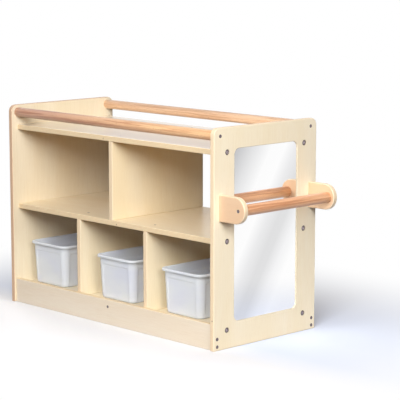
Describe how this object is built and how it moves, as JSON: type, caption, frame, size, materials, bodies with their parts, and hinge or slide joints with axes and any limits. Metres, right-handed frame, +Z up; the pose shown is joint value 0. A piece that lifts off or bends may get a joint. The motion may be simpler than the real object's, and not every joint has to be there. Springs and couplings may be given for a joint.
{
  "type": "montessori shelf",
  "caption": "Low open play shelf in birch plywood with rails round its top, a mirror let into one side behind a pull-up bar, and loose storage bins in its lower cubbies.",
  "frame": {"origin": "on the floor, in the middle of the object's outline in plan, bar brackets included", "axes": "+X along the length towards the mirror and the pull-up bar, -Y out of the open front, +Z up"},
  "size_m": [0.976, 0.4, 0.6],
  "materials": {
    "birch_panel": "clear satin lacquer",
    "birch_board": "clear satin lacquer",
    "birch_kick": "clear satin lacquer",
    "birch_backing": "clear satin lacquer",
    "birch_bracket": "clear satin lacquer",
    "beech_rail": "clear satin lacquer",
    "mirror": "silvered acrylic",
    "bin_plastic": "moulded satin",
    "dark_screw": "dark zinc",
    "zinc_nut": "zinc plated"
  },
  "bodies": {
    "shelf": {"left_panel": "birch_panel", "right_panel": "birch_panel", "mirror": "mirror", "mirror_backing": "birch_backing", "top_board": "birch_board", "middle_shelf": "birch_board", "bottom_shelf": "birch_board", "upper_divider": "birch_board", "lower_divider_left": "birch_board", "lower_divider_right": "birch_board", "kick_board_front": "birch_kick", "kick_board_rear": "birch_kick", "top_rail_front": "beech_rail", "top_rail_rear": "beech_rail", "pull_up_bar": "beech_rail", "bar_bracket_front": "birch_bracket", "bar_bracket_rear": "birch_bracket", "shelf_bolts_left": "dark_screw", "shelf_bolts_right": "dark_screw", "barrel_nuts_left": "zinc_nut", "barrel_nuts_right": "zinc_nut", "rail_screws": "dark_screw", "kick_end_screws_left": "dark_screw", "kick_end_screws_right": "dark_screw", "kick_face_screws": "dark_screw", "top_board_screws": "dark_screw", "middle_shelf_screws": "dark_screw", "upper_divider_screws": "dark_screw", "bottom_shelf_screws": "dark_screw", "bar_screws": "dark_screw", "bracket_screws": "dark_screw"},
    "left_bin": {"bin_left": "bin_plastic"},
    "middle_bin": {"bin_middle": "bin_plastic"},
    "right_bin": {"bin_right": "bin_plastic"}
  },
  "joints": [
    {"name": "left_bin_draw", "type": "slide", "parent": "shelf", "child": "left_bin", "axis": [0, -0.9063, 0.4226], "range_m": [0, 0.2]},
    {"name": "middle_bin_draw", "type": "slide", "parent": "shelf", "child": "middle_bin", "axis": [0, -0.9063, 0.4226], "range_m": [0, 0.2]},
    {"name": "right_bin_draw", "type": "slide", "parent": "shelf", "child": "right_bin", "axis": [0, -0.9063, 0.4226], "range_m": [0, 0.2]}
  ]
}
